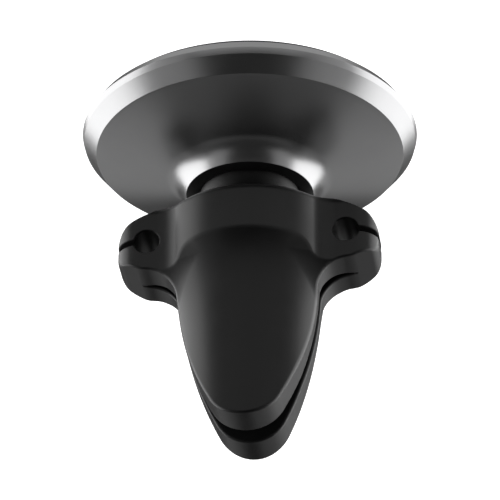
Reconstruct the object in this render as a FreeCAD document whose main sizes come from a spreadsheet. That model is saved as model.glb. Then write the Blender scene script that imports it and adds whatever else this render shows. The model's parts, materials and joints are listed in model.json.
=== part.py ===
import FreeCAD, Part
import math
import os
import re

import Sketcher
from FreeCAD import Placement, Rotation, Vector

# Magnetic phone mount that grips the slat of a car's air vent.  Millimetres.
# The origin is the root of the slat slot.  +Y runs out of the slot to the tips of the jaws,
# so the phone's face of the disc looks along -Y, and +Z is up.  The slat lies in plane Z = 0.
# Every turned piece of the head has its axis on Y, through the centre of the ball.

SIZES = {
    # Magnetic disc: distances in front of (or behind) the centre of the ball.
    "ball_y": -11.4,
    "disc_radius": 21.0,
    "pad_radius": 19.3,
    "pad_face": 9.3,
    "pad_thickness": 1.1,
    "glue_thickness": 0.15,
    "pad_clearance": 0.1,
    "rim_front": 8.56,
    "rim_front_radius": 20.1,
    "rim_wide": 7.25,
    "rim_wall_end": 6.41,
    "rim_wall_radius": 20.78,
    "rim_bore": 18.7,
    "back_edge": 4.5,
    "back_edge_radius": 19.24,
    "back_arc_radius": 68.0,
    "flare_foot": 1.3,
    "flare_foot_radius": 10.4,
    "flare_arc_radius": 4.2,
    "neck_end": 1.25,
    "neck_radius": 7.95,
    "neck_bore": 7.45,
    "shoulder": 3.6,
    "shoulder_radius": 10.5,
    "shell_wall": 1.1,
    "boss_radius": 1.9,
    "boss_end": 3.8,
    # What the disc holds.
    "carrier_bore": 7.55,
    "carrier_thickness": 1.95,
    "yoke_thickness": 0.6,
    "yoke_radius": 17.7,
    "yoke_bore": 9.6,
    "magnet_radius": 4.0,
    "magnet_thickness": 1.8,
    "magnet_circle": 13.5,
    "magnet_count": 6,
    "screw_count": 3,
    "screw_radius": 0.9,
    "screw_length": 3.4,
    "screw_head_radius": 1.6,
    "screw_head_thickness": 0.7,
    "screw_socket_radius": 0.75,
    "wave_inner_radius": 7.7,
    "wave_outer_radius": 9.2,
    "wave_thickness": 0.3,
    "wave_rise": 0.15,
    "wave_count": 3,
    # Ball joint: friction ring round the ball, cup round the ring.
    "ball_radius": 6.4,
    "ball_flat": 3.2,
    "running_gap": 0.05,
    "ring_thickness": 0.4,
    "ring_rear_angle": 110.0,
    "ring_front_angle": 122.0,
    "cup_floor": 5.7,
    "cup_front": 6.25,
    "cup_rear": 0.2,
    "cup_flange_radius": 9.35,
    "cup_flange_front": 5.3,
    "cup_flange_rear": 4.7,
    "collet_front": 0.3,
    "collet_lip": 1.1,
    "collet_face": 1.4,
    "collet_bore": 6.4,
    # Collar of the clip: distances from the root of the slot.
    "collar_front": 6.8,
    "collar_rear": 2.0,
    "collar_seat": 0.2,
    "crown_height": 9.1,
    "crown_radius": 11.5,
    "crown_angle": 48.0,
    "ear_height": 4.15,
    "ear_span": 16.35,
    "ear_flat_span": 11.09,
    "ear_fillet": 3.4,
    "ear_corner": 3.0,
    "ear_front_span": 10.6,
    "ear_front_set_back": 2.8,
    "ear_rear_span": 13.0,
    "ear_rear_set_back": 1.6,
    "edge_round": 1.0,
    "cable_radius": 1.6,
    "cable_span": 12.37,
    "cable_y": 1.9,
    "cable_slit": 0.7,
    "slot_gap": 1.5,
    "slot_wedge_span": 13.2,
    # Jaws: the tongues that hold the slat.  The crown falls in a straight line to the tip.
    "jaw_recess_span": 9.1,
    "jaw_root_span": 8.8,
    "jaw_shoulder": 4.0,
    "jaw_crown": 8.9,
    "jaw_taper": 0.112,
    "tip_centre": 19.3,
    "tip_radius": 4.85,
    "tip_angle": 28.0,
    "flank_radius": 38.6,
    "mouth_start": 17.0,
    "mouth_gap": 2.9,
    # Cross-sections of a jaw: distance along Y, half width, and radius of the crown.
    "root_y": 0.5,
    "root_span": 9.3,
    "root_crown_radius": 15.0,
    "shoulder_y": 5.0,
    "shoulder_span": 8.95,
    "shoulder_crown_radius": 11.0,
    "middle_y": 12.0,
    "middle_span": 8.0,
    "middle_crown_radius": 9.0,
    "end_y": 24.25,
    "end_span": 5.6,
    "end_crown_radius": 8.0,
    # Stud, core and springs inside the clip.
    "stem_radius": 3.6,
    "stem_end": 3.0,
    "tail_radius": 2.5,
    "tail_end": 0.5,
    "nut_thickness": 1.5,
    "nut_flats": 8.0,
    "core_front": 4.8,
    "core_rear": 0.4,
    "core_width": 14.8,
    "core_height": 11.2,
    "spring_thickness": 0.6,
    "spring_width": 9.0,
    "spring_corner": 0.8,
    "leaf_end": 19.0,
    "leaf_end_height": 3.2,
    "leaf_corner": 2.0,
    "rivet_radius": 1.0,
    "rivet_depth": 1.2,
    "rivet_head_radius": 1.5,
    "rivet_head_thickness": 0.4,
    "rivet_span": 3.0,
    "rivet_y": 2.6,
}

# Places worked out from the sizes, counted along Y from the centre of the ball.
CARRIER_FRONT = "(pad_thickness + glue_thickness - pad_face)"
CARRIER_REAR = f"({CARRIER_FRONT} + carrier_thickness)"
YOKE_REAR = f"({CARRIER_REAR} + yoke_thickness)"

# Places of a jaw's cross-sections, from the collar to the tip.
JAW_SECTIONS = ("root", "shoulder", "middle", "end")

# The sketcher's own number for a sketch's vertical axis.
VERTICAL_AXIS = -2

doc = FreeCAD.newDocument("VentPhoneMount")
sheet = doc.addObject("Spreadsheet::Sheet", "Sizes")


# ------------------------------------------------------------------ sheet and expressions
def fill_sheet():
    """Write each driving size to a row of the sheet and give its cell the same name."""
    for row, (name, size) in enumerate(SIZES.items(), start=1):
        sheet.set(f"A{row}", name)
        sheet.set(f"B{row}", str(size))
        sheet.setAlias(f"B{row}", name)
    doc.recompute()


def bound(text):
    """The expression, with every size's name pointing at its cell in the sheet."""
    return re.sub(r"[a-z_]+", lambda word: ("Sizes." if word[0] in SIZES else "") + word[0], text)


def value(text):
    """The number that an expression gives with the sheet as it is."""
    return float(sheet.evalExpression(bound(text)))


def bind(thing, **expressions):
    """Bind properties of an object to expressions."""
    for name, text in expressions.items():
        thing.setExpression(name, bound(text))


def head_point(radius, behind_ball):
    """A corner of a turned outline: its radius, and how far behind the ball's centre it is."""
    return (radius, f"ball_y + ({behind_ball})")


def ball_point(radius, angle):
    """A point on a sphere round the ball's centre, at an angle from the stem's direction."""
    return head_point(f"({radius}) * sin({angle})", f"({radius}) * cos({angle})")


# ------------------------------------------------------------------ sketches
def new_body(label):
    body = doc.addObject("PartDesign::Body", label)
    body.Label = label
    return body


def origin_feature(body, role):
    return next(feature for feature in body.Origin.OriginFeatures if feature.Role == role)


def new_sketch(body, name, role="XY_Plane", offset="0"):
    """A sketch on one of the body's own origin planes, moved along the plane's normal."""
    sketch = body.newObject("Sketcher::SketchObject", f"{body.Label}_{name}")
    sketch.AttachmentSupport = [(origin_feature(body, role), "")]
    sketch.MapMode = "FlatFace"
    sketch.setExpression("AttachmentOffset.Base.z", bound(offset))
    return sketch


def hold(sketch, kind, name, text, *where):
    """Add a constraint whose size is an expression."""
    index = sketch.addConstraint(Sketcher.Constraint(kind, *where, value(text)))
    sketch.renameConstraint(index, name)
    sketch.setExpression(f"Constraints.{name}", bound(text))


def arc_edge(first, last, radius):
    """The short arc between two points, drawn anticlockwise as the sketcher wants it.

    It bulges to the right of the way from first to last, or to the left if radius is negative.
    """
    chord = last - first
    left = Vector(-chord.y, chord.x, 0).normalize()
    reach = math.sqrt(radius ** 2 - (chord.Length / 2) ** 2)
    centre = (first + last) / 2 + left * math.copysign(reach, radius)
    ends = (first, last) if radius > 0 else (last, first)
    angles = [math.atan2(end.y - centre.y, end.x - centre.x) for end in ends]
    return Part.ArcOfCircle(Part.Circle(centre, Vector(0, 0, 1), abs(radius)), *angles)


def outline(sketch, corners, prefix="corner"):
    """Draw a closed outline, held by expressions at every corner.

    A corner is (x, y), or (x, y, radius) where an arc leads from it to the next corner.
    An arc with a negative radius bulges to the left.  A corner whose x is "0" lies on the axis.
    """
    points = [Vector(value(corner[0]), value(corner[1]), 0) for corner in corners]
    edges = []
    for corner, first, last in zip(corners, points, points[1:] + points[:1]):
        radius = value(corner[2]) if len(corner) == 3 else None
        shape = arc_edge(first, last, radius) if radius else Part.LineSegment(first, last)
        start, end = (2, 1) if radius and radius < 0 else (1, 2)
        edges.append((sketch.addGeometry(shape), start, end))
    for index, corner in enumerate(corners):
        edge, start, end = edges[index]
        following, following_start = edges[(index + 1) % len(edges)][:2]
        sketch.addConstraint(Sketcher.Constraint("Coincident", edge, end, following, following_start))
        if corner[0] == "0":
            sketch.addConstraint(Sketcher.Constraint("PointOnObject", edge, start, VERTICAL_AXIS))
        else:
            hold(sketch, "DistanceX", f"{prefix}{index}_x", corner[0], -1, 1, edge, start)
        hold(sketch, "DistanceY", f"{prefix}{index}_y", corner[1], -1, 1, edge, start)
        if len(corner) == 3:
            hold(sketch, "Radius", f"{prefix}{index}_radius", f"abs({corner[2]})", edge)


def circle(sketch, across, along, radius, name="circle"):
    """Draw a circle, held by expressions at its centre."""
    centre = Vector(value(across), value(along), 0)
    edge = sketch.addGeometry(Part.Circle(centre, Vector(0, 0, 1), value(radius)))
    hold(sketch, "DistanceX", f"{name}_x", across, -1, 1, edge, 3)
    hold(sketch, "DistanceY", f"{name}_y", along, -1, 1, edge, 3)
    hold(sketch, "Radius", f"{name}_radius", radius, edge)


def rectangle(sketch, low_x, low_y, high_x, high_y, prefix="corner"):
    outline(sketch, [(low_x, low_y), (high_x, low_y), (high_x, high_y), (low_x, high_y)], prefix)


# ------------------------------------------------------------------ features
def add_feature(body, kind, name, sketch, **expressions):
    feature = body.newObject(f"PartDesign::{kind}", f"{body.Label}_{name}")
    feature.Profile = sketch
    bind(feature, **expressions)
    body.Tip = feature
    return feature


def turn(body, name, corners):
    """Revolve an outline of (radius, Y) about the Y axis."""
    sketch = new_sketch(body, f"{name}_profile")
    outline(sketch, corners)
    feature = add_feature(body, "Revolution", name, sketch)
    feature.ReferenceAxis = (sketch, ["V_Axis"])
    feature.Angle = 360
    return feature


def pad_across(body, name, sketch, width):
    """Pad a sketch to both sides of its plane."""
    feature = add_feature(body, "Pad", name, sketch, Length=width)
    feature.Midplane = True
    return feature


def checked_cut(body, feature):
    """Recompute a cutting feature and make sure that it took something away."""
    before = feature.BaseFeature.Shape.Volume
    doc.recompute()
    if feature.Shape.Volume > before - 1e-6:
        raise RuntimeError(f"{feature.Label} cuts nothing")
    return feature


def edge_box(feature, name):
    return feature.Shape.getElement(name).BoundBox


def edges_where(feature, test):
    """Names of the feature's edges whose bounding box passes the test."""
    names = [f"Edge{number}" for number in range(1, len(feature.Shape.Edges) + 1)]
    return [name for name in names if test(edge_box(feature, name))]


def round_edges(body, name, feature, edges, radius):
    rounding = body.newObject("PartDesign::Fillet", f"{body.Label}_{name}")
    rounding.Base = (feature, edges)
    bind(rounding, Radius=radius)
    body.Tip = rounding
    doc.recompute()
    return rounding


def cut_along(body, name, sketch, depth):
    """Pocket from an XZ sketch towards +Y."""
    doc.recompute()
    return checked_cut(body, add_feature(body, "Pocket", name, sketch, Length=depth))


def cut_across(body, name, sketch):
    """Pocket right through, to both sides of the sketch's plane."""
    doc.recompute()
    feature = add_feature(body, "Pocket", name, sketch)
    feature.Type = "ThroughAll"
    feature.Midplane = True
    return checked_cut(body, feature)


def around_axis(body, feature, count):
    """Repeat a feature in equal steps about the Y axis."""
    doc.recompute()
    pattern = body.newObject("PartDesign::PolarPattern", f"{feature.Label}_pattern")
    pattern.Originals = [feature]
    pattern.Axis = (origin_feature(body, "Y_Axis"), [""])
    pattern.Angle = 360
    bind(pattern, Occurrences=count)
    body.Tip = pattern
    doc.recompute()
    return pattern


def cylinder(name, radius, height):
    """A cylinder whose axis is the Y axis, from Y = 0 towards +Y."""
    piece = doc.addObject("Part::Cylinder", name)
    bind(piece, Radius=radius, Height=height)
    piece.Placement = Placement(Vector(), Rotation(Vector(1, 0, 0), -90))
    return piece


def moved(piece, across="0", along="0", up="0"):
    for letter, text in zip("xyz", (across, along, up)):
        piece.setExpression(f"Placement.Base.{letter}", bound(text))
    return piece


def cut_out(label, base, tool):
    """What is left of one object when another is taken out of it."""
    piece = doc.addObject("Part::Cut", label)
    piece.Label = label
    piece.Base = base
    piece.Tool = tool
    return piece


def grouped(label, pieces):
    group = doc.addObject("Part::Compound", label)
    group.Label = label
    group.Links = pieces
    return group


# ------------------------------------------------------------------ magnetic disc
def screw_place():
    """Centre of one screw, across and up, between two magnets."""
    return ("magnet_circle * cos(30)", "magnet_circle * sin(30)")


def make_head_shell():
    """Turned aluminium shell: a bevelled rim, a hollow back and a neck round the ball."""
    body = new_body("head_shell")
    seat_radius = "pad_radius + pad_clearance"
    turn(body, "shell", [
        head_point(seat_radius, "-rim_front"),
        head_point("rim_front_radius", "-rim_front"),
        head_point("disc_radius", "-rim_wide"),
        head_point("rim_wall_radius", "-rim_wall_end"),
        (*head_point("back_edge_radius", "-back_edge"), "-back_arc_radius"),
        (*head_point("flare_foot_radius", "-flare_foot"), "-flare_arc_radius"),
        head_point("neck_radius", "neck_end"),
        head_point("neck_bore", "neck_end"),
        head_point("neck_bore", "-shoulder"),
        head_point("shoulder_radius", "-shoulder"),
        head_point("rim_bore", "-back_edge - shell_wall"),
        head_point("rim_bore", CARRIER_FRONT),
        head_point(seat_radius, CARRIER_FRONT),
    ])
    boss = new_sketch(body, "boss_circle", "XZ_Plane", "boss_end - ball_y")
    circle(boss, *screw_place(), "boss_radius")
    pillar = add_feature(body, "Pad", "boss", boss, Length=f"-boss_end - {YOKE_REAR}")
    around_axis(body, pillar, "screw_count")
    bore = new_sketch(body, "bore_circle", "XZ_Plane", f"-(ball_y + {YOKE_REAR})")
    circle(bore, *screw_place(), "screw_radius")
    around_axis(body, cut_along(body, "bore", bore, f"-boss_end - {YOKE_REAR}"), "screw_count")
    return body


def make_face_pad():
    """Silicone pad that the phone rests on."""
    body = new_body("face_pad")
    turn(body, "pad", [
        head_point("0", "-pad_face"),
        head_point("pad_radius - pad_clearance", "-pad_face"),
        head_point("pad_radius", "pad_clearance - pad_face"),
        head_point("pad_radius", "pad_thickness - pad_face"),
        head_point("0", "pad_thickness - pad_face"),
    ])
    return body


def make_pad_adhesive():
    body = new_body("pad_adhesive")
    turn(body, "film", [
        head_point("0", "pad_thickness - pad_face"),
        head_point("pad_radius", "pad_thickness - pad_face"),
        head_point("pad_radius", CARRIER_FRONT),
        head_point("0", CARRIER_FRONT),
    ])
    return body


def make_magnet_carrier():
    """Plastic plate with a pocket for each magnet and a sunk hole for each screw."""
    body = new_body("magnet_carrier")
    turn(body, "plate", [
        head_point("carrier_bore", CARRIER_FRONT),
        head_point("rim_bore", CARRIER_FRONT),
        head_point("rim_bore", CARRIER_REAR),
        head_point("carrier_bore", CARRIER_REAR),
    ])
    front = f"-(ball_y + {CARRIER_FRONT})"
    cuts = [
        ("pocket", ("magnet_circle", "0"), "magnet_radius", "magnet_thickness", "magnet_count"),
        ("sink", screw_place(), "screw_head_radius", "screw_head_thickness", "screw_count"),
        ("hole", screw_place(), "screw_radius", "carrier_thickness", "screw_count"),
    ]
    for name, place, radius, depth, count in cuts:
        sketch = new_sketch(body, f"{name}_circle", "XZ_Plane", front)
        circle(sketch, *place, radius)
        around_axis(body, cut_along(body, name, sketch, depth), count)
    return body


def make_magnets():
    """One disc magnet for each pocket of the carrier."""
    magnets = []
    for number in range(int(value("magnet_count"))):
        magnet = cylinder(f"magnet_{number + 1}", "magnet_radius", "magnet_thickness")
        turned = f"360 / magnet_count * {number}"
        moved(
            magnet,
            across=f"magnet_circle * cos({turned})",
            along=f"ball_y + {CARRIER_FRONT}",
            up=f"magnet_circle * sin({turned})",
        )
        magnets.append(magnet)
    return magnets


def make_yoke_plate():
    """Steel ring behind the magnets, which closes their field towards the phone."""
    body = new_body("yoke_plate")
    turn(body, "plate", [
        head_point("yoke_bore", CARRIER_REAR),
        head_point("yoke_radius", CARRIER_REAR),
        head_point("yoke_radius", YOKE_REAR),
        head_point("yoke_bore", YOKE_REAR),
    ])
    sketch = new_sketch(body, "hole_circle", "XZ_Plane", f"-(ball_y + {CARRIER_REAR})")
    circle(sketch, *screw_place(), "screw_radius")
    around_axis(body, cut_along(body, "hole", sketch, "yoke_thickness"), "screw_count")
    return body


def make_carrier_screws():
    """Three small socket screws from the carrier into the shell's bosses, as one group."""
    screws = []
    for number in range(int(value("screw_count"))):
        head = cylinder(f"screw_head_{number}", "screw_head_radius", "screw_head_thickness")
        shank = cylinder(f"screw_shank_{number}", "screw_radius", "screw_head_thickness + screw_length")
        solid = doc.addObject("Part::Fuse", f"screw_solid_{number}")
        solid.Base = head
        solid.Tool = shank
        socket = doc.addObject("Part::Prism", f"screw_socket_{number}")
        socket.Polygon = 6
        bind(socket, Circumradius="screw_socket_radius", Height="screw_head_thickness / 2")
        socket.Placement = Placement(Vector(), Rotation(Vector(1, 0, 0), -90))
        turned = f"(30 + 360 / screw_count * {number})"
        screws.append(moved(
            cut_out(f"carrier_screw_{number}", solid, socket),
            across=f"magnet_circle * cos({turned})",
            along=f"ball_y + {CARRIER_FRONT}",
            up=f"magnet_circle * sin({turned})",
        ))
    return grouped("carrier_screws", screws)


def make_wave_spring():
    """Wavy steel washer that pushes the cup, and so the ball, back against the collet."""
    def wave_ring(radius, lift):
        steps = range(12 * int(value("wave_count")))
        rim = Part.BSplineCurve()
        rim.interpolate(
            [
                Vector(
                    radius * math.cos(2 * math.pi * step / len(steps)),
                    lift + value("wave_rise") * math.sin(2 * math.pi * step / 12),
                    radius * math.sin(2 * math.pi * step / len(steps)),
                )
                for step in steps
            ],
            PeriodicFlag=True,
        )
        return rim.toShape()

    inner, outer = value("wave_inner_radius"), value("wave_outer_radius")
    middle = (value(CARRIER_REAR) - value("cup_flange_front")) / 2
    low = middle - value("wave_thickness") / 2
    high = middle + value("wave_thickness") / 2
    rims = [wave_ring(inner, low), wave_ring(outer, low), wave_ring(outer, high), wave_ring(inner, high)]
    walls = [Part.makeRuledSurface(first, last) for first, last in zip(rims, rims[1:] + rims[:1])]
    spring = doc.addObject("Part::Feature", "wave_spring")
    spring.Shape = Part.makeSolid(Part.makeShell(walls))
    spring.Placement = Placement(Vector(0, value("ball_y"), 0), Rotation())
    return spring


def make_collet():
    """Black ring screwed into the neck.  Its seat stops the ball from coming out."""
    body = new_body("ball_collet")
    seat = "(ball_radius + running_gap)"
    turn(body, "ring", [
        (*head_point(f"sqrt({seat} ^ 2 - collet_front ^ 2)", "collet_front"), f"{seat}"),
        head_point(f"sqrt({seat} ^ 2 - collet_lip ^ 2)", "collet_lip"),
        head_point("collet_bore", "collet_face"),
        head_point("neck_radius", "collet_face"),
        head_point("neck_radius", "neck_end"),
        head_point("neck_bore", "neck_end"),
        head_point("neck_bore", "collet_front"),
    ])
    return body


# ------------------------------------------------------------------ ball joint
def make_socket_cup():
    """Acetal cup that turns in the neck's bore.  Its hollow is round the ball's centre."""
    body = new_body("socket_cup")
    hollow = "(ball_radius + 2 * running_gap + ring_thickness)"
    cup_radius = "neck_bore - running_gap"
    turn(body, "cup", [
        head_point("0", "-cup_front"),
        head_point(cup_radius, "-cup_front"),
        head_point(cup_radius, "-cup_flange_front"),
        head_point("cup_flange_radius", "-cup_flange_front"),
        head_point("cup_flange_radius", "-cup_flange_rear"),
        head_point(cup_radius, "-cup_flange_rear"),
        head_point(cup_radius, "cup_rear"),
        (*head_point(f"sqrt({hollow} ^ 2 - cup_rear ^ 2)", "cup_rear"), f"-{hollow}"),
        head_point(f"sqrt({hollow} ^ 2 - cup_floor ^ 2)", "-cup_floor"),
        head_point("0", "-cup_floor"),
    ])
    return body


def make_friction_ring():
    """Thin spherical ring between the ball and the cup."""
    body = new_body("friction_ring")
    inner = "(ball_radius + running_gap)"
    outer = "(ball_radius + running_gap + ring_thickness)"
    turn(body, "ring", [
        ball_point(inner, "ring_rear_angle"),
        (*ball_point(outer, "ring_rear_angle"), f"-{outer}"),
        ball_point(outer, "ring_front_angle"),
        (*ball_point(inner, "ring_front_angle"), inner),
    ])
    return body


def make_ball_stud():
    """Steel ball, cut flat in front, on a stem with a threaded tail."""
    body = new_body("ball_stud")
    turn(body, "stud", [
        head_point("0", "-ball_flat"),
        (*head_point("sqrt(ball_radius ^ 2 - ball_flat ^ 2)", "-ball_flat"), "ball_radius"),
        head_point("stem_radius", "sqrt(ball_radius ^ 2 - stem_radius ^ 2)"),
        ("stem_radius", "-stem_end"),
        ("tail_radius", "-stem_end"),
        ("tail_radius", "-tail_end"),
        ("0", "-tail_end"),
    ])
    return body


# ------------------------------------------------------------------ inside the clip
def make_spring_saddle():
    """Bent strip of spring steel round the core.  The leaves in the jaws carry on from it."""
    body = new_body("spring_saddle")
    front, outside = "-core_front - spring_thickness", "(core_height / 2 + spring_thickness)"
    inside = "core_height / 2"
    sketch = new_sketch(body, "strip_outline", "YZ_Plane")
    outline(sketch, [
        (front, f"-{outside}"),
        ("-core_rear", f"-{outside}"),
        ("-core_rear", f"-{inside}"),
        ("-core_front", f"-{inside}"),
        ("-core_front", inside),
        ("-core_rear", inside),
        ("-core_rear", outside),
        (front, outside),
    ])
    strip = pad_across(body, "strip", sketch, "spring_width")
    doc.recompute()
    bends = edges_where(strip, lambda box: abs(box.YMax - value(front)) < 1e-6 and box.XLength > 1)
    bends = [name for name in bends if abs(abs(edge_box(strip, name).ZMax) - value(outside)) < 1e-6]
    round_edges(body, "bend", strip, bends, "spring_corner")
    stem = new_sketch(body, "stem_circle", "XZ_Plane", "core_front + spring_thickness")
    circle(stem, "0", "0", "stem_radius")
    cut_along(body, "stem_hole", stem, "spring_thickness")
    rivets = new_sketch(body, "rivet_circles")
    circle(rivets, "rivet_span", "-rivet_y", "rivet_radius", "right")
    circle(rivets, "-rivet_span", "-rivet_y", "rivet_radius", "left")
    cut_across(body, "rivet_holes", rivets)
    return body


def make_saddle_rivets():
    """Four rivets that hold the saddle's arms to the core, as one group."""
    rivets = []
    for side in (1, -1):
        for face in (1, -1):
            name = f"{'right' if side > 0 else 'left'}_{'top' if face > 0 else 'bottom'}"
            shank = doc.addObject("Part::Cylinder", f"rivet_shank_{name}")
            bind(shank, Radius="rivet_radius", Height="rivet_depth + spring_thickness")
            head = doc.addObject("Part::Cylinder", f"rivet_head_{name}")
            bind(head, Radius="rivet_head_radius", Height="rivet_head_thickness")
            head.setExpression("Placement.Base.z", bound("rivet_depth + spring_thickness"))
            rivet = doc.addObject("Part::Fuse", f"rivet_{name}")
            rivet.Base = shank
            rivet.Tool = head
            rivet.Placement = Placement(Vector(), Rotation(Vector(1, 0, 0), 0 if face > 0 else 180))
            moved(
                rivet,
                across=f"{side} * rivet_span",
                along="-rivet_y",
                up=f"{face} * (core_height / 2 - rivet_depth)",
            )
            rivets.append(rivet)
    return grouped("saddle_rivets", rivets)


def make_stud_nut():
    """Thin hexagon nut on the stud's tail, sunk in the back of the core."""
    hexagon = doc.addObject("Part::Prism", "nut_hexagon")
    hexagon.Polygon = 6
    bind(hexagon, Circumradius="nut_flats / 2 / cos(30)", Height="nut_thickness")
    hexagon.Placement = Placement(Vector(), Rotation(Vector(1, 0, 0), -90))
    nut = cut_out("stud_nut", hexagon, cylinder("nut_thread", "tail_radius", "nut_thickness"))
    return moved(nut, along="-core_rear - nut_thickness")


def make_clip_core(rivets, nut):
    """Rigid nylon block inside the collar, bored for the stud, its nut and the rivets."""
    body = new_body("core_block")
    sketch = new_sketch(body, "block_outline", "XZ_Plane", "core_rear")
    rectangle(sketch, "-core_width / 2", "-core_height / 2", "core_width / 2", "core_height / 2")
    add_feature(body, "Pad", "block", sketch, Length="core_front - core_rear")
    for name, radius, depth in (
        ("stem_bore", "stem_radius", "core_front - stem_end"),
        ("tail_bore", "tail_radius", "core_front - core_rear"),
    ):
        bore = new_sketch(body, f"{name}_circle", "XZ_Plane", "core_front")
        circle(bore, "0", "0", radius)
        cut_along(body, name, bore, depth)
    hollows = doc.addObject("Part::MultiFuse", "core_hollows")
    hollows.Shapes = [*rivets.Links, nut]
    return cut_out("clip_core", body, hollows)


# ------------------------------------------------------------------ collar
def collar_half():
    """The upper half of the collar's outline seen along Y, from the right ear to the left."""
    flat_end = "(ear_flat_span - ear_fillet * sin(crown_angle))"
    right = [
        ("ear_span", "(ear_height - ear_corner)"),
        ("(ear_span - ear_corner)", "ear_height"),
        ("ear_flat_span", "ear_height"),
        (flat_end, "(ear_height + ear_fillet * (1 - cos(crown_angle)))"),
        ("(crown_radius * sin(crown_angle))", "(crown_height - crown_radius * (1 - cos(crown_angle)))"),
    ]
    left = [(f"-{across}", up) for across, up in reversed(right)]
    arcs = {0: "ear_corner", 2: "-ear_fillet", 4: "crown_radius", 6: "-ear_fillet", 8: "ear_corner"}
    return [
        (*corner, arcs[index]) if index in arcs else corner
        for index, corner in enumerate(right + left)
    ]


def make_clip_collar(insides):
    """Soft-touch collar moulded round the core, with an ear for a cable at each side."""
    body = new_body("collar_block")
    sketch = new_sketch(body, "face_outline", "XZ_Plane", "-collar_rear")
    upper = collar_half()
    lower = [(f"-({corner[0]})", f"-({corner[1]})", *corner[2:]) for corner in upper]
    outline(sketch, upper + lower)
    block = add_feature(body, "Pad", "block", sketch, Length="collar_front + collar_rear")
    doc.recompute()
    front = edges_where(block, lambda box: box.YLength < 1e-6 and box.YMax < 0)
    round_edges(body, "front_round", block, front, "edge_round")

    ears = new_sketch(body, "ear_plan")
    for sign in ("", "-"):
        side = "right" if sign == "" else "left"
        beyond = f"{sign}(ear_span + 1)"
        outline(ears, [
            (f"{sign}ear_front_span", "-collar_front"),
            (f"{sign}ear_front_span", "-collar_front - 1"),
            (beyond, "-collar_front - 1"),
            (beyond, "ear_front_set_back - collar_front"),
            (f"{sign}ear_span", "ear_front_set_back - collar_front"),
        ], f"{side}_front")
        outline(ears, [
            (f"{sign}ear_rear_span", "collar_rear"),
            (f"{sign}ear_span", "collar_rear - ear_rear_set_back"),
            (beyond, "collar_rear - ear_rear_set_back"),
            (beyond, "collar_rear + 1"),
            (f"{sign}ear_rear_span", "collar_rear + 1"),
        ], f"{side}_rear")
    cut_across(body, "ear_slants", ears)

    cables = new_sketch(body, "cable_circles")
    circle(cables, "cable_span", "-cable_y", "cable_radius", "right")
    circle(cables, "-cable_span", "-cable_y", "cable_radius", "left")
    cut_across(body, "cable_holes", cables)
    slits = new_sketch(body, "slit_outlines")
    for sign in ("", "-"):
        rectangle(
            slits,
            f"{sign}cable_span", "-cable_y - cable_slit / 2",
            f"{sign}(ear_span + 1)", "-cable_y + cable_slit / 2",
            "right" if sign == "" else "left",
        )
    cut_across(body, "cable_slits", slits)

    slot = new_sketch(body, "slot_wedge", "XZ_Plane")
    outline(slot, [
        ("slot_wedge_span", "0"),
        ("jaw_recess_span", "slot_gap / 2"),
        ("-jaw_recess_span", "slot_gap / 2"),
        ("-slot_wedge_span", "0"),
        ("-jaw_recess_span", "-slot_gap / 2"),
        ("jaw_recess_span", "-slot_gap / 2"),
    ])
    cut_along(body, "slot", slot, "collar_rear")
    recess = new_sketch(body, "jaw_recess_outline", "XZ_Plane", "-collar_seat")
    rectangle(recess, "-jaw_recess_span", "-crown_height", "jaw_recess_span", "crown_height")
    cut_along(body, "jaw_recess", recess, "collar_rear - collar_seat")
    return cut_out("clip_collar", body, insides)


# ------------------------------------------------------------------ jaws
def make_spring_leaf():
    """Spring steel leaf inside the upper jaw."""
    body = new_body("upper_spring_leaf")
    sketch = new_sketch(body, "side_outline", "YZ_Plane")
    outline(sketch, [
        ("root_y", "core_height / 2"),
        ("leaf_end", "leaf_end_height"),
        ("leaf_end", "leaf_end_height + spring_thickness"),
        ("root_y", "core_height / 2 + spring_thickness"),
    ])
    leaf = pad_across(body, "leaf", sketch, "spring_width")
    doc.recompute()
    corners = edges_where(leaf, lambda box: box.YMin > value("leaf_end") - 1e-6 and box.XLength < 1e-6)
    round_edges(body, "corner_round", leaf, corners, "leaf_corner")
    return body


def make_jaw_grip(leaf):
    """Soft-touch tongue above the slot, moulded round its leaf."""
    body = new_body("jaw_block")
    sections = []
    for place in JAW_SECTIONS:
        section = new_sketch(body, f"{place}_section", "XZ_Plane", f"-{place}_y")
        span, radius = f"{place}_span", f"{place}_crown_radius"
        crown = f"(jaw_crown - jaw_taper * ({place}_y - root_y))"
        edge = f"{crown} - {radius} + sqrt({radius} ^ 2 - {span} ^ 2)"
        outline(section, [
            (f"-{span}", "slot_gap / 2"),
            (span, "slot_gap / 2"),
            (span, edge, radius),
            (f"-{span}", edge),
        ])
        sections.append(section)
    loft = add_feature(body, "AdditiveLoft", "loft", sections[0])
    loft.Sections = sections[1:]
    doc.recompute()

    plan = new_sketch(body, "plan_outline")
    rectangle(plan, "-ear_span", "0", "ear_span", "end_y + 1", "frame")
    shoulder = ("(tip_radius * cos(tip_angle))", "tip_centre + tip_radius * sin(tip_angle)")
    outline(plan, [
        ("-jaw_root_span", "root_y / 2"),
        ("jaw_root_span", "root_y / 2"),
        ("jaw_root_span", "jaw_shoulder", "flank_radius"),
        (*shoulder, "tip_radius"),
        (f"-{shoulder[0]}", shoulder[1], "flank_radius"),
        ("-jaw_root_span", "jaw_shoulder"),
    ], "tongue")
    cut_across(body, "plan", plan)
    mouth = new_sketch(body, "mouth_outline", "YZ_Plane")
    outline(mouth, [
        ("mouth_start", "0"),
        ("end_y", "0"),
        ("end_y", "mouth_gap / 2"),
        ("mouth_start", "slot_gap / 2"),
    ])
    cut_across(body, "mouth", mouth)
    return cut_out("upper_jaw_grip", body, leaf)


def mirrored_below(label, piece):
    """The same piece on the other side of the slot."""
    image = doc.addObject("Part::Mirroring", label)
    image.Label = label
    image.Source = piece
    image.Normal = Vector(0, 0, 1)
    return image


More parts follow.
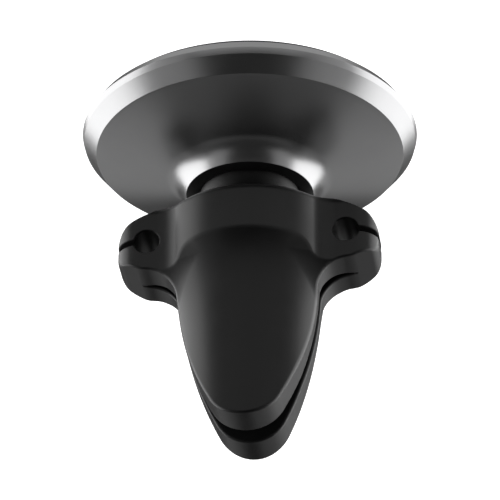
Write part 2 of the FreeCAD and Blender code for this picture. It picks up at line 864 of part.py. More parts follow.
# ------------------------------------------------------------------ assembly
def build():
    fill_sheet()
    pieces = [
        make_head_shell(),
        make_face_pad(),
        make_pad_adhesive(),
        make_magnet_carrier(),
        *make_magnets(),
        make_yoke_plate(),
        make_carrier_screws(),
        make_wave_spring(),
        make_collet(),
        make_socket_cup(),
        make_friction_ring(),
    ]
    stud = make_ball_stud()
    saddle = make_spring_saddle()
    rivets = make_saddle_rivets()
    nut = make_stud_nut()
    core = make_clip_core(rivets, nut)
    insides = doc.addObject("Part::MultiFuse", "clip_insides")
    insides.Shapes = [stud, saddle, *rivets.Links, nut, core]
    leaf = make_spring_leaf()
    grip = make_jaw_grip(leaf)
    pieces += [
        stud, saddle, rivets, nut, core,
        make_clip_collar(insides),
        leaf,
        grip,
        mirrored_below("lower_spring_leaf", leaf),
        mirrored_below("lower_jaw_grip", grip),
    ]
    doc.recompute()
    return pieces


def check(pieces):
    """Stop if any object failed, or if a piece has no sound solid."""
    for thing in doc.Objects:
        if "Invalid" in thing.State or "Error" in thing.State:
            raise RuntimeError(f"{thing.Label}: {thing.State}")
    for piece in pieces:
        if piece.Shape.isNull() or not piece.Shape.isValid() or not piece.Shape.Solids:
            raise RuntimeError(f"{piece.Label} has no sound solid")
        box = piece.Shape.optimalBoundingBox()
        print(f"{piece.Label:20} {len(piece.Shape.Solids)} solid, {piece.Shape.Volume:9.2f} mm3,"
              f" Y {box.YMin:7.2f} to {box.YMax:7.2f}")


def write(pieces):
    os.makedirs("parts", exist_ok=True)
    for piece in pieces:
        piece.Shape.exportStep(f"parts/{piece.Label}.step")


all_pieces = build()
check(all_pieces)
write(all_pieces)
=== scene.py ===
import json
import math

import bmesh
import bpy
import numpy as np
import openvdb
from mathutils import Matrix, Vector


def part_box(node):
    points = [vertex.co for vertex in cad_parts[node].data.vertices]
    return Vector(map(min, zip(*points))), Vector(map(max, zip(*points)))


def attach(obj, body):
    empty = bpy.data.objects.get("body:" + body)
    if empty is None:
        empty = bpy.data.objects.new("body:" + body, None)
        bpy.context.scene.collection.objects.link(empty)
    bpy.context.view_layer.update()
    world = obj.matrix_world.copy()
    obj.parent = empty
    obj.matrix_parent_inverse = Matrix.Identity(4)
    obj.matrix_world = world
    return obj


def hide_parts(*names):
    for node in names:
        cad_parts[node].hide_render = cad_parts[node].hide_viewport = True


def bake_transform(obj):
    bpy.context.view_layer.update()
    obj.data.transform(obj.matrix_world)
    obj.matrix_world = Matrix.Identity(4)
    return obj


# Magnetic phone mount on a vent clip.  Shapes are worked out in millimetres and built in metres.
# The frame is the CAD's: the origin at the root of the slot, +Y out of the slot, +Z up.

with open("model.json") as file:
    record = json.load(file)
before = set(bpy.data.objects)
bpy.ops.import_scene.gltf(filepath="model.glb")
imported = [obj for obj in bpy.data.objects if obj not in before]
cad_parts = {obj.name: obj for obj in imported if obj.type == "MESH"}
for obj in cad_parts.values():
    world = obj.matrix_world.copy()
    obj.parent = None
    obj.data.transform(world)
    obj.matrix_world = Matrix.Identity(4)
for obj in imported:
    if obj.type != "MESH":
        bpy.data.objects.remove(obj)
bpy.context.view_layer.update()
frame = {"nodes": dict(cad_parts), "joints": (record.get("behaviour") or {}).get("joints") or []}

MM = 0.001


def joint(name):
    return next(item for item in frame["joints"] if item["name"] == name)


# ------------------------------------------------------------------ sizes from the frame, in mm
BALL_Y = joint("spin")["pos_m"][1] / MM
SHELL_LOW, SHELL_HIGH = (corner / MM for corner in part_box("head_shell"))
COLLAR_LOW, COLLAR_HIGH = (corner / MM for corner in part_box("clip_collar"))
JAW_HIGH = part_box("upper_jaw_grip")[1] / MM
PAD_LOW, PAD_HIGH = (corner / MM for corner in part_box("face_pad"))
COLLET_LOW, COLLET_HIGH = (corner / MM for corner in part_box("ball_collet"))
STUD_LOW, STUD_HIGH = (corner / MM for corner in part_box("ball_stud"))
CORE_LOW, CORE_HIGH = (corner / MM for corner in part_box("clip_core"))
LEAF_LOW, LEAF_HIGH = (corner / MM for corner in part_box("upper_spring_leaf"))
SADDLE_LOW, SADDLE_HIGH = (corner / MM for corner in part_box("spring_saddle"))
RIVET_LOW, RIVET_HIGH = (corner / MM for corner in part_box("saddle_rivets"))


# ------------------------------------------------------------------ outlines
def arc(first, last, radius, steps=16):
    """Points of the short arc from first towards last, which is left out.

    The arc bulges to the right of its way, or to the left if radius is negative.
    """
    first, last = np.array(first, float), np.array(last, float)
    chord = last - first
    length = np.hypot(*chord)
    left = np.array((-chord[1], chord[0])) / length
    reach = math.sqrt(radius ** 2 - length ** 2 / 4)
    centre = (first + last) / 2 + left * math.copysign(reach, radius)
    half = math.asin(length / 2 / abs(radius))
    start = math.atan2(*(first - centre)[::-1])
    angles = start + math.copysign(2 * half, radius) * np.arange(steps) / steps
    return [tuple(centre + abs(radius) * np.array((math.cos(a), math.sin(a)))) for a in angles]


def softened(points, radius, steps=4, least_turn=math.radians(12)):
    """The closed outline with every real corner rounded."""
    rounded = []
    count = len(points)
    for index in range(count):
        before, here, after = (np.array(points[(index + step) % count], float) for step in (-1, 0, 1))
        back, ahead = before - here, after - here
        back_length, ahead_length = np.hypot(*back), np.hypot(*ahead)
        back, ahead = back / back_length, ahead / ahead_length
        turn = math.pi - math.acos(np.clip(back @ ahead, -1, 1))
        on_axis = here[0] < 1e-6
        if turn < least_turn or on_axis:
            rounded.append(tuple(here))
            continue
        reach = min(radius * math.tan(turn / 2), 0.45 * back_length, 0.45 * ahead_length)
        start, end = here + back * reach, here + ahead * reach
        for step in range(steps + 1):
            share = step / steps
            point = (1 - share) ** 2 * start + 2 * share * (1 - share) * here + share ** 2 * end
            rounded.append(tuple(point))
    return rounded


def lathe(name, outline, segments=240):
    """A closed solid turned about the Y axis from an outline of (radius, Y) in mm."""
    builder = bmesh.new()
    rings = []
    for radius, along in outline:
        if radius < 1e-6:
            rings.append([builder.verts.new((0, along * MM, 0))])
            continue
        turns = (2 * math.pi * number / segments for number in range(segments))
        rings.append([
            builder.verts.new((radius * MM * math.cos(a), along * MM, radius * MM * math.sin(a)))
            for a in turns
        ])
    for ring, following in zip(rings, rings[1:] + rings[:1]):
        if len(ring) == len(following) == 1:
            continue
        for number in range(segments):
            after = (number + 1) % segments
            corners = [ring[number % len(ring)], ring[after % len(ring)]]
            corners += [following[after % len(following)], following[number % len(following)]]
            builder.faces.new(list(dict.fromkeys(corners)))
    bmesh.ops.recalc_face_normals(builder, faces=builder.faces)
    mesh = bpy.data.meshes.new(name)
    builder.to_mesh(mesh)
    builder.free()
    return smooth_piece(name, mesh)


def smooth_piece(name, mesh):
    mesh.shade_smooth()
    piece = bpy.data.objects.new(name, mesh)
    bpy.context.scene.collection.objects.link(piece)
    return piece


def even_normals(piece):
    """Let the large faces set the normals, so that only the small rounded edges catch light."""
    weights = piece.modifiers.new("even_normals", "WEIGHTED_NORMAL")
    weights.weight = 50
    weights.keep_sharp = True
    return piece


# ------------------------------------------------------------------ solids by distance
# Each function gives the distance to a surface in mm: negative inside, positive outside.
def common(first, second, radius):
    """What is in both, with a rounded edge of that radius."""
    rounding = np.hypot(np.maximum(first + radius, 0), np.maximum(second + radius, 0))
    return np.minimum(np.maximum(first, second), -radius) + rounding


def joined(first, second, radius):
    """Both together, with a hollow fillet of that radius between them."""
    fillet = np.hypot(np.maximum(radius - first, 0), np.maximum(radius - second, 0))
    return np.maximum(np.minimum(first, second), radius) - fillet


def beyond(across, along, first, last):
    """Distance past the line from first to last, counted to its right."""
    run = np.array(last, float) - np.array(first, float)
    normal = np.array((run[1], -run[0])) / np.hypot(*run)
    return (across - first[0]) * normal[0] + (along - first[1]) * normal[1]


def box_distance(across, along, up, low, high):
    """Distance to a box that is the same on both sides of X = 0 and of Z = 0."""
    outside = [np.abs(across) - high[0], along - high[1], low[1] - along, np.abs(up) - high[2]]
    return np.maximum.reduce(np.broadcast_arrays(*outside))


# Small rounding of the moulding's edges, and the fuller one along the collar's front.
EDGE = 0.28
FRONT_ROUND = 1.2
# Collar seen along Y, and its ears seen from above.
CROWN_RADIUS = 11.5
CROWN_ANGLE = math.radians(48)
EAR_HEIGHT = 4.15
EAR_CORNER = 3.0
EAR_FRONT_ROUND = 1.8
EAR_REAR_ROUND = 1.0
EAR_BLEND = 1.2
EAR_FRONT = ((10.6, COLLAR_LOW.y), (COLLAR_HIGH.x, COLLAR_LOW.y + 2.8))
EAR_REAR = ((COLLAR_HIGH.x, COLLAR_HIGH.y - 1.6), (13.0, COLLAR_HIGH.y))
# Hole for a cable in each ear, and its slit.
CABLE_RADIUS = 1.6
CABLE_X = 12.37
CABLE_Y = -1.9
CABLE_SLIT = 0.7
# Jaws seen from above.
ROOT_FILLET = 4.0
JAW_HALF_WIDTH = 8.8
JAW_SHOULDER = 4.0
TIP_CENTRE = 19.3
TIP_RADIUS = 4.85
TIP_ANGLE = math.radians(28)
FLANK_RADIUS = 38.6
# Jaws seen from the side: the crown's height at the tip, its slope, and its rise to the collar.
TIP_HEIGHT = 6.2
JAW_SLOPE = 0.07
FLARE_HEIGHT = 1.18
FLARE_LENGTH = 2.8
FLARE_START = -0.35
# Hollow between a jaw's crown and the ears.
SCOOP_START = 1.8
SCOOP_SLOPE = 0.75
SCOOP_ROOM = 0.4
SCOOP_FILLET = 2.5
# The crown seen along Y turns from its radius at the root to that at the tip.
TIP_CROWN_RADIUS = 9.2
ROOT_CROWN_RADIUS = 12.4
CROWN_CHANGE_START = 0.0
CROWN_CHANGE_LENGTH = 6.0
# Slot for the slat: wider at the mouth, and a wedge on the ears that sinks as it closes.
SLOT_HALF_GAP = 0.75
MOUTH_HALF_GAP = 1.45
MOUTH_START = 17.0
WEDGE_START = 9.1
WEDGE_END = 13.2
WEDGE_DROP = 0.45


def collar_outline(x, z):
    """The collar seen along Y: a crown, a slope on each side, and an ear at each end."""
    across, up = np.abs(x), np.abs(z)
    centre = COLLAR_HIGH.z - CROWN_RADIUS
    crown = np.hypot(across, up - centre) - CROWN_RADIUS
    slope = across * math.sin(CROWN_ANGLE) + (up - centre) * math.cos(CROWN_ANGLE) - CROWN_RADIUS
    on_crown = across * math.cos(CROWN_ANGLE) < (up - centre) * math.sin(CROWN_ANGLE)
    ears = common(up - EAR_HEIGHT, across - COLLAR_HIGH.x, EAR_CORNER)
    return joined(np.where(on_crown, crown, slope), ears, EAR_BLEND)


def collar_plan(x, y):
    """The collar seen from above, with its ears cut back in front and behind."""
    across = np.abs(x)
    end = common(across - COLLAR_HIGH.x, beyond(across, y, *EAR_FRONT), EAR_FRONT_ROUND)
    end = common(end, beyond(across, y, *EAR_REAR), EAR_REAR_ROUND)
    return common(end, y - COLLAR_HIGH.y, EDGE)


def jaw_plan(x, y):
    """A jaw seen from above: sides that curve in to a round tip."""
    across = np.abs(x)
    shoulder = (TIP_RADIUS * math.cos(TIP_ANGLE), TIP_CENTRE + TIP_RADIUS * math.sin(TIP_ANGLE))
    chord = np.array(shoulder) - (JAW_HALF_WIDTH, JAW_SHOULDER)
    length = np.hypot(*chord)
    left = np.array((-chord[1], chord[0])) / length
    middle = (np.array(shoulder) + (JAW_HALF_WIDTH, JAW_SHOULDER)) / 2
    centre = middle + left * math.sqrt(FLANK_RADIUS ** 2 - length ** 2 / 4)
    flank = np.hypot(across - centre[0], y - centre[1]) - FLANK_RADIUS
    tip = np.hypot(across, y - TIP_CENTRE) - TIP_RADIUS
    past_shoulder = (y - TIP_CENTRE) * math.cos(TIP_ANGLE) > across * math.sin(TIP_ANGLE)
    side = np.where(y < JAW_SHOULDER, across - JAW_HALF_WIDTH, np.where(past_shoulder, tip, flank))
    return np.maximum(side, COLLAR_LOW.y + FRONT_ROUND - y)


def jaw_crown(x, y, z):
    """The jaws' crowned backs, which rise into the collar and scoop out to its ears."""
    height = TIP_HEIGHT + JAW_SLOPE * (JAW_HIGH.y - y)
    height = height + FLARE_HEIGHT * np.exp((FLARE_START - y) / FLARE_LENGTH)
    change = np.exp(np.minimum(CROWN_CHANGE_START - y, 0) / CROWN_CHANGE_LENGTH)
    radius = TIP_CROWN_RADIUS + (ROOT_CROWN_RADIUS - TIP_CROWN_RADIUS) * change
    crown = np.hypot(x, np.maximum(np.abs(z) - height + radius, 0)) - radius
    scoop = np.abs(z) - EAR_HEIGHT - SCOOP_ROOM + SCOOP_SLOPE * np.maximum(y - SCOOP_START, 0)
    return joined(crown, scoop, SCOOP_FILLET)


def slat_slot(x, y, z):
    """The slot with its round root, which tapers out on the ears and opens at the mouth."""
    mouth = np.clip((y - MOUTH_START) / (JAW_HIGH.y - MOUTH_START), 0, 1)
    gap = SLOT_HALF_GAP + (MOUTH_HALF_GAP - SLOT_HALF_GAP) * mouth
    taper = np.clip((WEDGE_END - np.abs(x)) / (WEDGE_END - WEDGE_START), 0.001, 1)
    gap = gap * taper
    slot = np.hypot(np.minimum(y - gap, 0), z + WEDGE_DROP * (1 - taper)) - gap
    return np.maximum(slot, np.abs(x) - WEDGE_END)


def cable_cuts(x, y):
    """The round hole for a cable in each ear, and the slit through which the cable goes in."""
    across = np.abs(x)
    hole = np.hypot(across - CABLE_X, y - CABLE_Y) - CABLE_RADIUS
    slit = np.maximum(np.abs(y - CABLE_Y) - CABLE_SLIT / 2, CABLE_X - across)
    return np.minimum(hole, slit)


def boot(x, y, z):
    """The soft-touch moulding: collar, ears and both jaws."""
    plan = joined(collar_plan(x, y), jaw_plan(x, y), ROOT_FILLET)
    top = common(collar_outline(x, z), jaw_crown(x, y, z), EDGE / 2)
    solid = common(common(top, plan, EDGE), COLLAR_LOW.y - y, FRONT_ROUND)
    solid = common(solid, -slat_slot(x, y, z), EDGE)
    solid = common(solid, -cable_cuts(x, y), EDGE / 2)
    return np.maximum(solid, -insides(x, y, z))


LEAF_ROOM = 0.4
SPRING_THICKNESS = 0.6
RIVET_HEAD_RADIUS = 1.5
STEM_RADIUS = 3.6


def insides(x, y, z):
    """The room inside the moulding for the core, the saddle, its rivets, the stem and the leaves."""
    core = box_distance(x, y, z, CORE_LOW, CORE_HIGH)
    saddle = box_distance(x, y, z, SADDLE_LOW, SADDLE_HIGH)
    rivet_x, rivet_y = RIVET_HIGH.x - RIVET_HEAD_RADIUS, (RIVET_LOW.y + RIVET_HIGH.y) / 2
    heads = np.hypot(np.abs(x) - rivet_x, y - rivet_y) - RIVET_HEAD_RADIUS
    rivets = np.maximum(heads, np.abs(z) - RIVET_HIGH.z)
    stem = np.maximum(np.hypot(x, z) - STEM_RADIUS, y - CORE_HIGH.y)
    share = (y - LEAF_LOW.y) / (LEAF_HIGH.y - LEAF_LOW.y)
    leaf_z = CORE_HIGH.z + (LEAF_LOW.z - CORE_HIGH.z) * share
    low_side, high_side = leaf_z - np.abs(z), np.abs(z) - leaf_z - SPRING_THICKNESS - LEAF_ROOM
    ends = np.maximum(LEAF_LOW.y - y, y - LEAF_HIGH.y)
    leaf = np.maximum(np.maximum(low_side, high_side), np.maximum(ends, np.abs(x) - LEAF_HIGH.x))
    return np.minimum.reduce(np.broadcast_arrays(core, saddle, rivets, stem, leaf))


VOXEL = 0.16
LEAST_SLOPE = 0.2
JAW_BEND_START = 5.0


def slope_of(distance, points, step=0.01):
    """The distance's slope at each point, by small steps to both sides."""
    slopes = []
    for axis in range(3):
        shift = np.zeros(3)
        shift[axis] = step
        change = distance(*(points + shift).T) - distance(*(points - shift).T)
        slopes.append(change / (2 * step))
    return np.stack(slopes, axis=1)


def unit(vectors):
    return vectors / np.maximum(np.linalg.norm(vectors, axis=1, keepdims=True), 1e-9)


def surface(distance, low, high):
    """Points and quads of the surface where the distance is zero, inside a box, in mm."""
    axes = [np.arange(first, last, VOXEL) for first, last in zip(low, high)]
    x, y, z = (values.astype(np.float32) for values in np.meshgrid(*axes, indexing="ij", sparse=True))
    values = np.clip(distance(x, y, z), -3 * VOXEL, 3 * VOXEL).astype(np.float32)
    grid = openvdb.FloatGrid(3 * VOXEL)
    grid.copyFromArray(values)
    points, quads = grid.convertToQuads()
    points = np.array(low) + points.astype(float) * VOXEL
    for _ in range(4):
        slopes = slope_of(distance, points)
        size = np.maximum((slopes ** 2).sum(axis=1, keepdims=True), LEAST_SLOPE)
        step = distance(*points.T)[:, None] * slopes / size
        points -= np.clip(step, -VOXEL / 2, VOXEL / 2)
    return points, quads


def mesh_from(name, points, faces):
    mesh = bpy.data.meshes.new(name)
    mesh.from_pydata(points * MM, [], faces)
    mesh.update()
    return mesh


def cut_away(mesh, name, planes):
    """A copy of a closed mesh with what lies beyond each plane cut off and the cuts closed.

    A plane is (point in mm, outward normal).
    """
    builder = bmesh.new()
    builder.from_mesh(mesh)
    for point, normal in planes:
        cut = bmesh.ops.bisect_plane(
            builder,
            geom=[*builder.verts, *builder.edges, *builder.faces],
            dist=1e-8,
            plane_co=Vector(point) * MM,
            plane_no=Vector(normal),
            clear_outer=True,
        )
        rim = [item for item in cut["geom_cut"] if isinstance(item, bmesh.types.BMEdge)]
        rim = [edge for edge in rim if edge.is_valid and edge.is_boundary]
        bmesh.ops.triangle_fill(builder, edges=rim, use_beauty=True, normal=Vector(normal))
    piece_mesh = bpy.data.meshes.new(name)
    builder.to_mesh(piece_mesh)
    builder.free()
    return piece_mesh


def follow_distance(mesh, distance, planes):
    """Give every corner the exact normal of the surface, and the flat cuts their own."""
    points = np.empty(len(mesh.vertices) * 3)
    mesh.vertices.foreach_get("co", points)
    points = points.reshape(-1, 3) / MM
    corners = np.empty(len(mesh.loops), int)
    mesh.loops.foreach_get("vertex_index", corners)
    normals = unit(slope_of(distance, points))[corners]
    starts = np.empty(len(mesh.polygons), int)
    mesh.polygons.foreach_get("loop_start", starts)
    totals = np.empty(len(mesh.polygons), int)
    mesh.polygons.foreach_get("loop_total", totals)
    face_of_corner = np.repeat(np.arange(len(starts)), totals)
    for point, normal in planes:
        off_plane = np.abs((points - point) @ np.array(normal, float)) > 1e-4
        open_face = np.bincount(face_of_corner, weights=off_plane[corners]) > 0
        normals[~open_face[face_of_corner]] = normal
    mesh.shade_smooth()
    mesh.normals_split_custom_set(normals.tolist())


def make_boot():
    """Collar and jaws from one surface, divided where the jaws begin to bend."""
    low = (COLLAR_LOW.x - 1, COLLAR_LOW.y - 1, COLLAR_LOW.z - 1)
    high = (COLLAR_HIGH.x + 1, JAW_HIGH.y + 1, COLLAR_HIGH.z + 1)
    whole = mesh_from("boot", *surface(boot, low, high))
    bend = (0, JAW_BEND_START, 0)
    middle = (0, 0, 0)
    cuts = {
        "soft_collar": [(bend, (0, 1, 0))],
        "soft_upper_jaw": [(bend, (0, -1, 0)), (middle, (0, 0, -1))],
        "soft_lower_jaw": [(bend, (0, -1, 0)), (middle, (0, 0, 1))],
    }
    pieces = []
    for name, planes in cuts.items():
        mesh = cut_away(whole, name, planes)
        follow_distance(mesh, boot, planes)
        pieces.append(smooth_piece(name, mesh))
    bpy.data.meshes.remove(whole)
    return pieces


# ------------------------------------------------------------------ turned pieces
def behind_ball(radius, along):
    """A corner of a turned outline: its radius, and how far behind the ball's centre it is."""
    return (radius, BALL_Y + along)


FINE_EDGE = 0.12
PAD_SEAT = PAD_HIGH.x + 0.1
PLATE_FRONT = PAD_HIGH.y + 0.15
NECK_BORE = 7.45
NECK_RADIUS = 7.95
RIM_BORE = 18.7
SHELL_WALL = 1.1
BACK_ARC_RADIUS = 150.0
FLARE_ARC_RADIUS = 4.2
RIM_FRONT = (20.1, SHELL_LOW.y)
RIM_WIDE = behind_ball(SHELL_HIGH.x, -7.25)
CHAMFER_START = behind_ball(20.78, -6.41)
CHAMFER_END = behind_ball(19.24, -4.5)
FLARE_FOOT = behind_ball(10.4, -1.3)
NECK_END = behind_ball(NECK_RADIUS, 1.25)
SHOULDER = behind_ball(10.5, -3.6)


def make_shell():
    """The disc's turned aluminium shell, from the pad's seat over the rim to the neck."""
    profile = [
        (PAD_SEAT, SHELL_LOW.y),
        RIM_FRONT,
        RIM_WIDE,
        CHAMFER_START,
        *arc(CHAMFER_END, FLARE_FOOT, BACK_ARC_RADIUS, 24),
        *arc(FLARE_FOOT, NECK_END, -FLARE_ARC_RADIUS, 20),
        NECK_END,
        (NECK_BORE, NECK_END[1]),
        (NECK_BORE, SHOULDER[1]),
        SHOULDER,
        (RIM_BORE, CHAMFER_END[1] - SHELL_WALL),
        (RIM_BORE, PLATE_FRONT),
        (PAD_SEAT, PLATE_FRONT),
    ]
    shell = even_normals(lathe("turned_shell", softened(profile, FINE_EDGE)))
    polished = CHAMFER_END[0] * MM
    for face in shell.data.polygons:
        radius = math.hypot(face.center.x, face.center.z)
        face.material_index = 1 if radius > polished else 0
    return shell


def make_pad():
    """Silicone pad for the phone, with a shallow groove inside its edge."""
    face, back, rim = PAD_LOW.y, PAD_HIGH.y, PAD_HIGH.x
    groove, groove_width, groove_depth = rim - 2.2, 0.7, 0.18
    profile = [
        (0, face),
        (groove - groove_width, face),
        (groove - groove_width, face + groove_depth),
        (groove, face + groove_depth),
        (groove, face),
        (rim, face),
        (rim, back),
        (0, back),
    ]
    return even_normals(lathe("silicone_pad", softened(profile, 0.15)))


BALL_SEAT = 6.45
RING_BORE = 6.4
RING_LIP = 0.3
RING_SLOPE = 0.14


def make_collet_ring():
    """Black ring that holds the ball in the neck: its outer face slopes away from a narrow lip."""
    lip = COLLET_HIGH.y - RING_LIP - BALL_Y
    front = COLLET_LOW.y - BALL_Y
    seat_front = behind_ball(math.sqrt(BALL_SEAT ** 2 - front ** 2), front)
    seat_end = behind_ball(math.sqrt(BALL_SEAT ** 2 - lip ** 2), lip)
    profile = [
        *arc(seat_front, seat_end, BALL_SEAT, 6),
        seat_end,
        (RING_BORE, COLLET_HIGH.y),
        (RING_BORE + RING_LIP, COLLET_HIGH.y),
        (COLLET_HIGH.x, COLLET_HIGH.y - RING_SLOPE),
        (COLLET_HIGH.x, NECK_END[1]),
        (NECK_BORE, NECK_END[1]),
        (NECK_BORE, COLLET_LOW.y),
    ]
    return even_normals(lathe("collet_ring", softened(profile, 0.1)))


def make_ball():
    """Steel ball on its stem, with a thinner threaded tail."""
    ball, flat = STUD_HIGH.x, BALL_Y - STUD_LOW.y
    stem, tail, stem_end = STEM_RADIUS, 2.5, -3.0
    equator = (ball, BALL_Y)
    front = behind_ball(math.sqrt(ball ** 2 - flat ** 2), -flat)
    rear = behind_ball(stem, math.sqrt(ball ** 2 - stem ** 2))
    profile = [
        behind_ball(0, -flat),
        *arc(front, equator, ball, 24),
        *arc(equator, rear, ball, 48),
        rear,
        (stem, stem_end),
        (tail, stem_end),
        (tail, STUD_HIGH.y),
        (0, STUD_HIGH.y),
    ]
    return even_normals(lathe("ball_on_stem", softened(profile, 0.1)))


# ------------------------------------------------------------------ materials
def new_material(name, **sockets):
    """A material with a Principled shader, its even values set on the shader's own sockets."""
    material = bpy.data.materials.new(name)
    material.use_nodes = True
    shader = material.node_tree.nodes["Principled BSDF"]
    for socket, value in sockets.items():
        shader.inputs[socket.replace("_", " ")].default_value = value
    return material


def noise(material, scale, detail=4.0):
    """Noise on the object's own coordinates, with that many spots to the metre."""
    tree = material.node_tree
    place = tree.nodes.new("ShaderNodeTexCoord")
    texture = tree.nodes.new("ShaderNodeTexNoise")
    texture.inputs["Scale"].default_value = scale
    texture.inputs["Detail"].default_value = detail
    tree.links.new(place.outputs["Object"], texture.inputs["Vector"])
    return texture.outputs["Fac"]


def spread(material, value, low, high):
    """Map a pattern's middle range on to values from low to high."""
    node = material.node_tree.nodes.new("ShaderNodeMapRange")
    settings = {"From Min": 0.3, "From Max": 0.7, "To Min": low, "To Max": high}
    for socket, number in settings.items():
        node.inputs[socket].default_value = number
    material.node_tree.links.new(value, node.inputs["Value"])
    return node.outputs["Result"]


def tint(material, value, dark, light):
    """Colour that goes from dark to light with a pattern."""
    ramp = material.node_tree.nodes.new("ShaderNodeValToRGB")
    ramp.color_ramp.elements[0].position = 0.3
    ramp.color_ramp.elements[1].position = 0.7
    ramp.color_ramp.elements[0].color = (*dark, 1)
    ramp.color_ramp.elements[1].color = (*light, 1)
    material.node_tree.links.new(value, ramp.inputs["Fac"])
    return ramp.outputs["Color"]


def bump(material, height, distance):
    """Bump from a pattern, this many metres deep."""
    tree = material.node_tree
    node = tree.nodes.new("ShaderNodeBump")
    node.inputs["Distance"].default_value = distance
    node.inputs["Strength"].default_value = 1.0
    tree.links.new(height, node.inputs["Height"])
    tree.links.new(node.outputs["Normal"], tree.nodes["Principled BSDF"].inputs["Normal"])


def feed(material, **links):
    """Link patterns to the shader's sockets."""
    shader = material.node_tree.nodes["Principled BSDF"]
    for socket, output in links.items():
        material.node_tree.links.new(output, shader.inputs[socket.replace("_", " ")])
    return material


def satin_metal(name, dark, light, roughness, grain):
    """Metal with a fine grain, and a finish that is not quite even."""
    material = new_material(name, Metallic=1.0)
    cloud = noise(material, 120)
    feed(
        material,
        Base_Color=tint(material, cloud, dark, light),
        Roughness=spread(material, cloud, roughness * 0.92, roughness * 1.08),
    )
    bump(material, noise(material, 9000, 2), grain)
    return material


def moulded(name, dark, light, roughness, specular, grain, grain_scale=7000):
    """Moulded plastic or rubber: a fine skin texture and faint cloudiness."""
    material = new_material(name, Specular_IOR_Level=specular)
    cloud = noise(material, 200)
    feed(
        material,
        Base_Color=tint(material, cloud, dark, light),
        Roughness=spread(material, cloud, roughness * 0.93, roughness * 1.07),
    )
    bump(material, noise(material, grain_scale, 3), grain)
    return material


def grey(level):
    return (level, level, level * 1.01)


def make_materials():
    return {
        "satin": satin_metal("satin_gunmetal", grey(0.30), grey(0.33), 0.30, 0.000002),
        "bright": satin_metal("bright_cut_gunmetal", grey(0.34), grey(0.36), 0.17, 0.000001),
        "steel": satin_metal("zinc_plated_steel", (0.55, 0.56, 0.58), (0.62, 0.62, 0.61), 0.35, 0.000003),
        "spring": satin_metal("blued_spring_steel", (0.20, 0.21, 0.24), (0.27, 0.28, 0.31), 0.3, 0.000002),
        "nickel": satin_metal("nickel_plate", (0.60, 0.58, 0.53), (0.68, 0.66, 0.61), 0.15, 0.000001),
        "ball": moulded("black_ball_finish", grey(0.004), grey(0.006), 0.45, 0.3, 0.000001),
        "soft": moulded("soft_touch_black", grey(0.004), grey(0.007), 0.38, 0.3, 0.000003),
        "ring": moulded("black_nylon", grey(0.006), grey(0.009), 0.34, 0.5, 0.000002),
        "acetal": moulded("white_acetal", grey(0.62), grey(0.70), 0.35, 0.5, 0.000002),
        "carrier": moulded("grey_carrier_plastic", grey(0.10), grey(0.14), 0.45, 0.5, 0.000003),
        "pad": moulded("matt_silicone", grey(0.014), grey(0.020), 0.62, 0.35, 0.000006, 3500),
        "film": moulded("adhesive_film", (0.55, 0.50, 0.40), (0.62, 0.57, 0.46), 0.3, 0.5, 0.000002),
    }


def dress(piece, *materials):
    piece.data.materials.clear()
    for material in materials:
        piece.data.materials.append(material)


# ------------------------------------------------------------------ pieces on their bodies
def add_pieces(materials):
    turned = [
        (make_shell(), "head", "head_shell", "anodised_aluminium", ("satin", "bright")),
        (make_pad(), "head", "face_pad", "silicone_pad", ("pad",)),
        (make_collet_ring(), "head", "ball_collet", "black_nylon", ("ring",)),
        (make_ball(), "clip", "ball_stud", "black_ball", ("ball",)),
    ]
    for piece, body, node, slot, finishes in turned:
        dress(piece, *(materials[finish] for finish in finishes))
        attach(piece, body)
        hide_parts(node)
    collar, upper_jaw, lower_jaw = make_boot()
    mouldings = ((collar, "clip_collar"), (upper_jaw, "upper_jaw_grip"), (lower_jaw, "lower_jaw_grip"))
    for piece, node in mouldings:
        dress(piece, materials["soft"])
        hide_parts(node)
    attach(collar, "clip")
    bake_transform(upper_jaw)
    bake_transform(lower_jaw)


CARRIED_OVER = {
    "magnet": "nickel",
    "pad_adhesive": "film",
    "magnet_carrier": "carrier",
    "yoke_plate": "steel",
    "carrier_screws": "steel",
    "wave_spring": "spring",
    "socket_cup": "acetal",
    "friction_ring": "acetal",
    "spring_saddle": "spring",
    "saddle_rivets": "steel",
    "stud_nut": "steel",
    "clip_core": "ring",
    "upper_spring_leaf": "spring",
    "lower_spring_leaf": "spring",
}


def dress_cad_nodes(materials):
    """Give each CAD node that stays a procedural finish."""
    for name, node in frame["nodes"].items():
        kind = name if name in CARRIED_OVER else name.rstrip("_0123456789")
        if kind in CARRIED_OVER:
            dress(node, materials[CARRIED_OVER[kind]])


# ------------------------------------------------------------------ studio
SIDE = Vector((0.9921, 0, 0.1253))
RIG_UP = Vector((-0.1253, 0, 0.9921))
FLOOR_Z = -0.6


def turned_to(direction):
    """Rotation of a light that shines back along a direction, with its height along Y."""
    reference = RIG_UP if abs(direction.y) > 0.9 else Vector((0, 1, 0))
    across = reference.cross(direction).normalized()
    return Matrix((across, direction.cross(across), direction)).transposed().to_quaternion()


def softbox(name, place, distance, size, radiance):
    """A light that faces the object.  Its place is a direction: to the side, along Y, and up."""
    across, along, up = place
    width, height = size
    direction = (SIDE * across + Vector((0, 1, 0)) * along + RIG_UP * up).normalized()
    light = bpy.data.lights.new(name, "AREA")
    light.shape = "RECTANGLE"
    light.size, light.size_y = width, height
    light.energy = radiance * math.pi * width * height
    lamp = bpy.data.objects.new(name, light)
    bpy.context.scene.collection.objects.link(lamp)
    lamp.location = direction * distance
    lamp.rotation_mode = "QUATERNION"
    lamp.rotation_quaternion = turned_to(direction)
    lamp.visible_camera = False


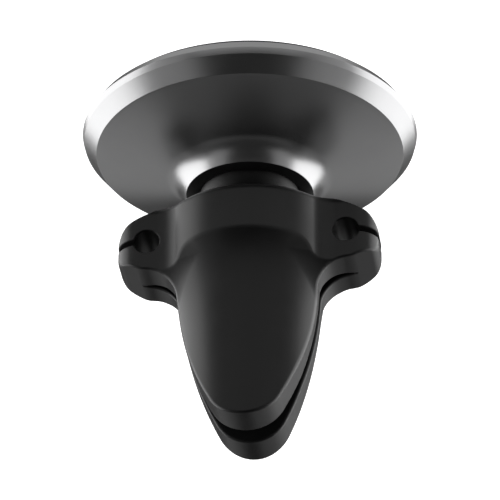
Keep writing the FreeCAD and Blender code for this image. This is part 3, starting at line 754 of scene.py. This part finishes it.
def make_floor():
    """Pale floor that glows like a light table and isn't mirrored in the object."""
    half = 6.0
    mesh = bpy.data.meshes.new("floor")
    corners = [(x * half, y * half, FLOOR_Z) for x, y in ((-1, -1), (1, -1), (1, 1), (-1, 1))]
    mesh.from_pydata(corners, [], [(0, 1, 2, 3)])
    floor = bpy.data.objects.new("floor", mesh)
    bpy.context.scene.collection.objects.link(floor)
    floor.visible_glossy = False
    dress(floor, new_material(
        "pale_floor",
        Base_Color=(0.8, 0.8, 0.8, 1),
        Roughness=0.9,
        Emission_Color=(1, 1, 1, 1),
        Emission_Strength=0.85,
    ))


def make_world():
    """Dim room light, with a pale backdrop where the camera looks past the floor."""
    world = bpy.data.worlds.new("studio")
    bpy.context.scene.world = world
    world.use_nodes = True
    tree = world.node_tree
    room = tree.nodes["Background"]
    room.inputs["Color"].default_value = (1, 1, 1, 1)
    room.inputs["Strength"].default_value = 0.04
    backdrop = tree.nodes.new("ShaderNodeBackground")
    backdrop.inputs["Color"].default_value = (1, 1, 1, 1)
    backdrop.inputs["Strength"].default_value = 1.0
    path = tree.nodes.new("ShaderNodeLightPath")
    mix = tree.nodes.new("ShaderNodeMixShader")
    tree.links.new(path.outputs["Is Camera Ray"], mix.inputs["Fac"])
    tree.links.new(room.outputs["Background"], mix.inputs[1])
    tree.links.new(backdrop.outputs["Background"], mix.inputs[2])
    tree.links.new(mix.outputs["Shader"], tree.nodes["World Output"].inputs["Surface"])


def make_studio():
    make_world()
    make_floor()
    for side, name in ((1, "left"), (-1, "right")):
        softbox(f"side_{name}", (0.93 * side, -0.15, -0.27), 0.55, (0.7, 0.85), 3.1)
        softbox(f"low_side_{name}", (0.4 * side, 0.42, -0.81), 0.55, (0.25, 0.6), 0.45)
        softbox(f"high_side_{name}", (0.8 * side, 0.1, 0.55), 0.55, (0.3, 1.0), 0.45)
    softbox("overhead", (0, -0.58, 0.81), 0.6, (0.9, 0.64), 0.7)
    softbox("front", (0, -0.97, -0.1), 0.6, (0.8, 0.6), 0.6)
    softbox("rear", (0, 0.93, -0.3), 0.6, (0.8, 0.5), 0.1)
    bpy.context.scene.view_settings.view_transform = "Standard"


def make_camera():
    """Looks down on the clip, from behind the disc, with the disc's far edge at the top."""
    back = Vector((-0.10796, 0.50772, 0.85473))
    up = Vector((-0.06364, -0.86152, 0.50372))
    right = up.cross(back).normalized()
    up = back.cross(right).normalized()
    camera = bpy.data.objects.new("camera", bpy.data.cameras.new("camera"))
    bpy.context.scene.collection.objects.link(camera)
    camera.data.lens = 371
    camera.data.clip_start = 0.01
    camera.location = Vector((-69.02, 322.38, 546.37)) * MM
    camera.rotation_mode = "QUATERNION"
    camera.rotation_quaternion = Matrix((right, up, back)).transposed().to_quaternion()
    bpy.context.scene.camera = camera


finishes = make_materials()
add_pieces(finishes)
dress_cad_nodes(finishes)
make_studio()
make_camera()
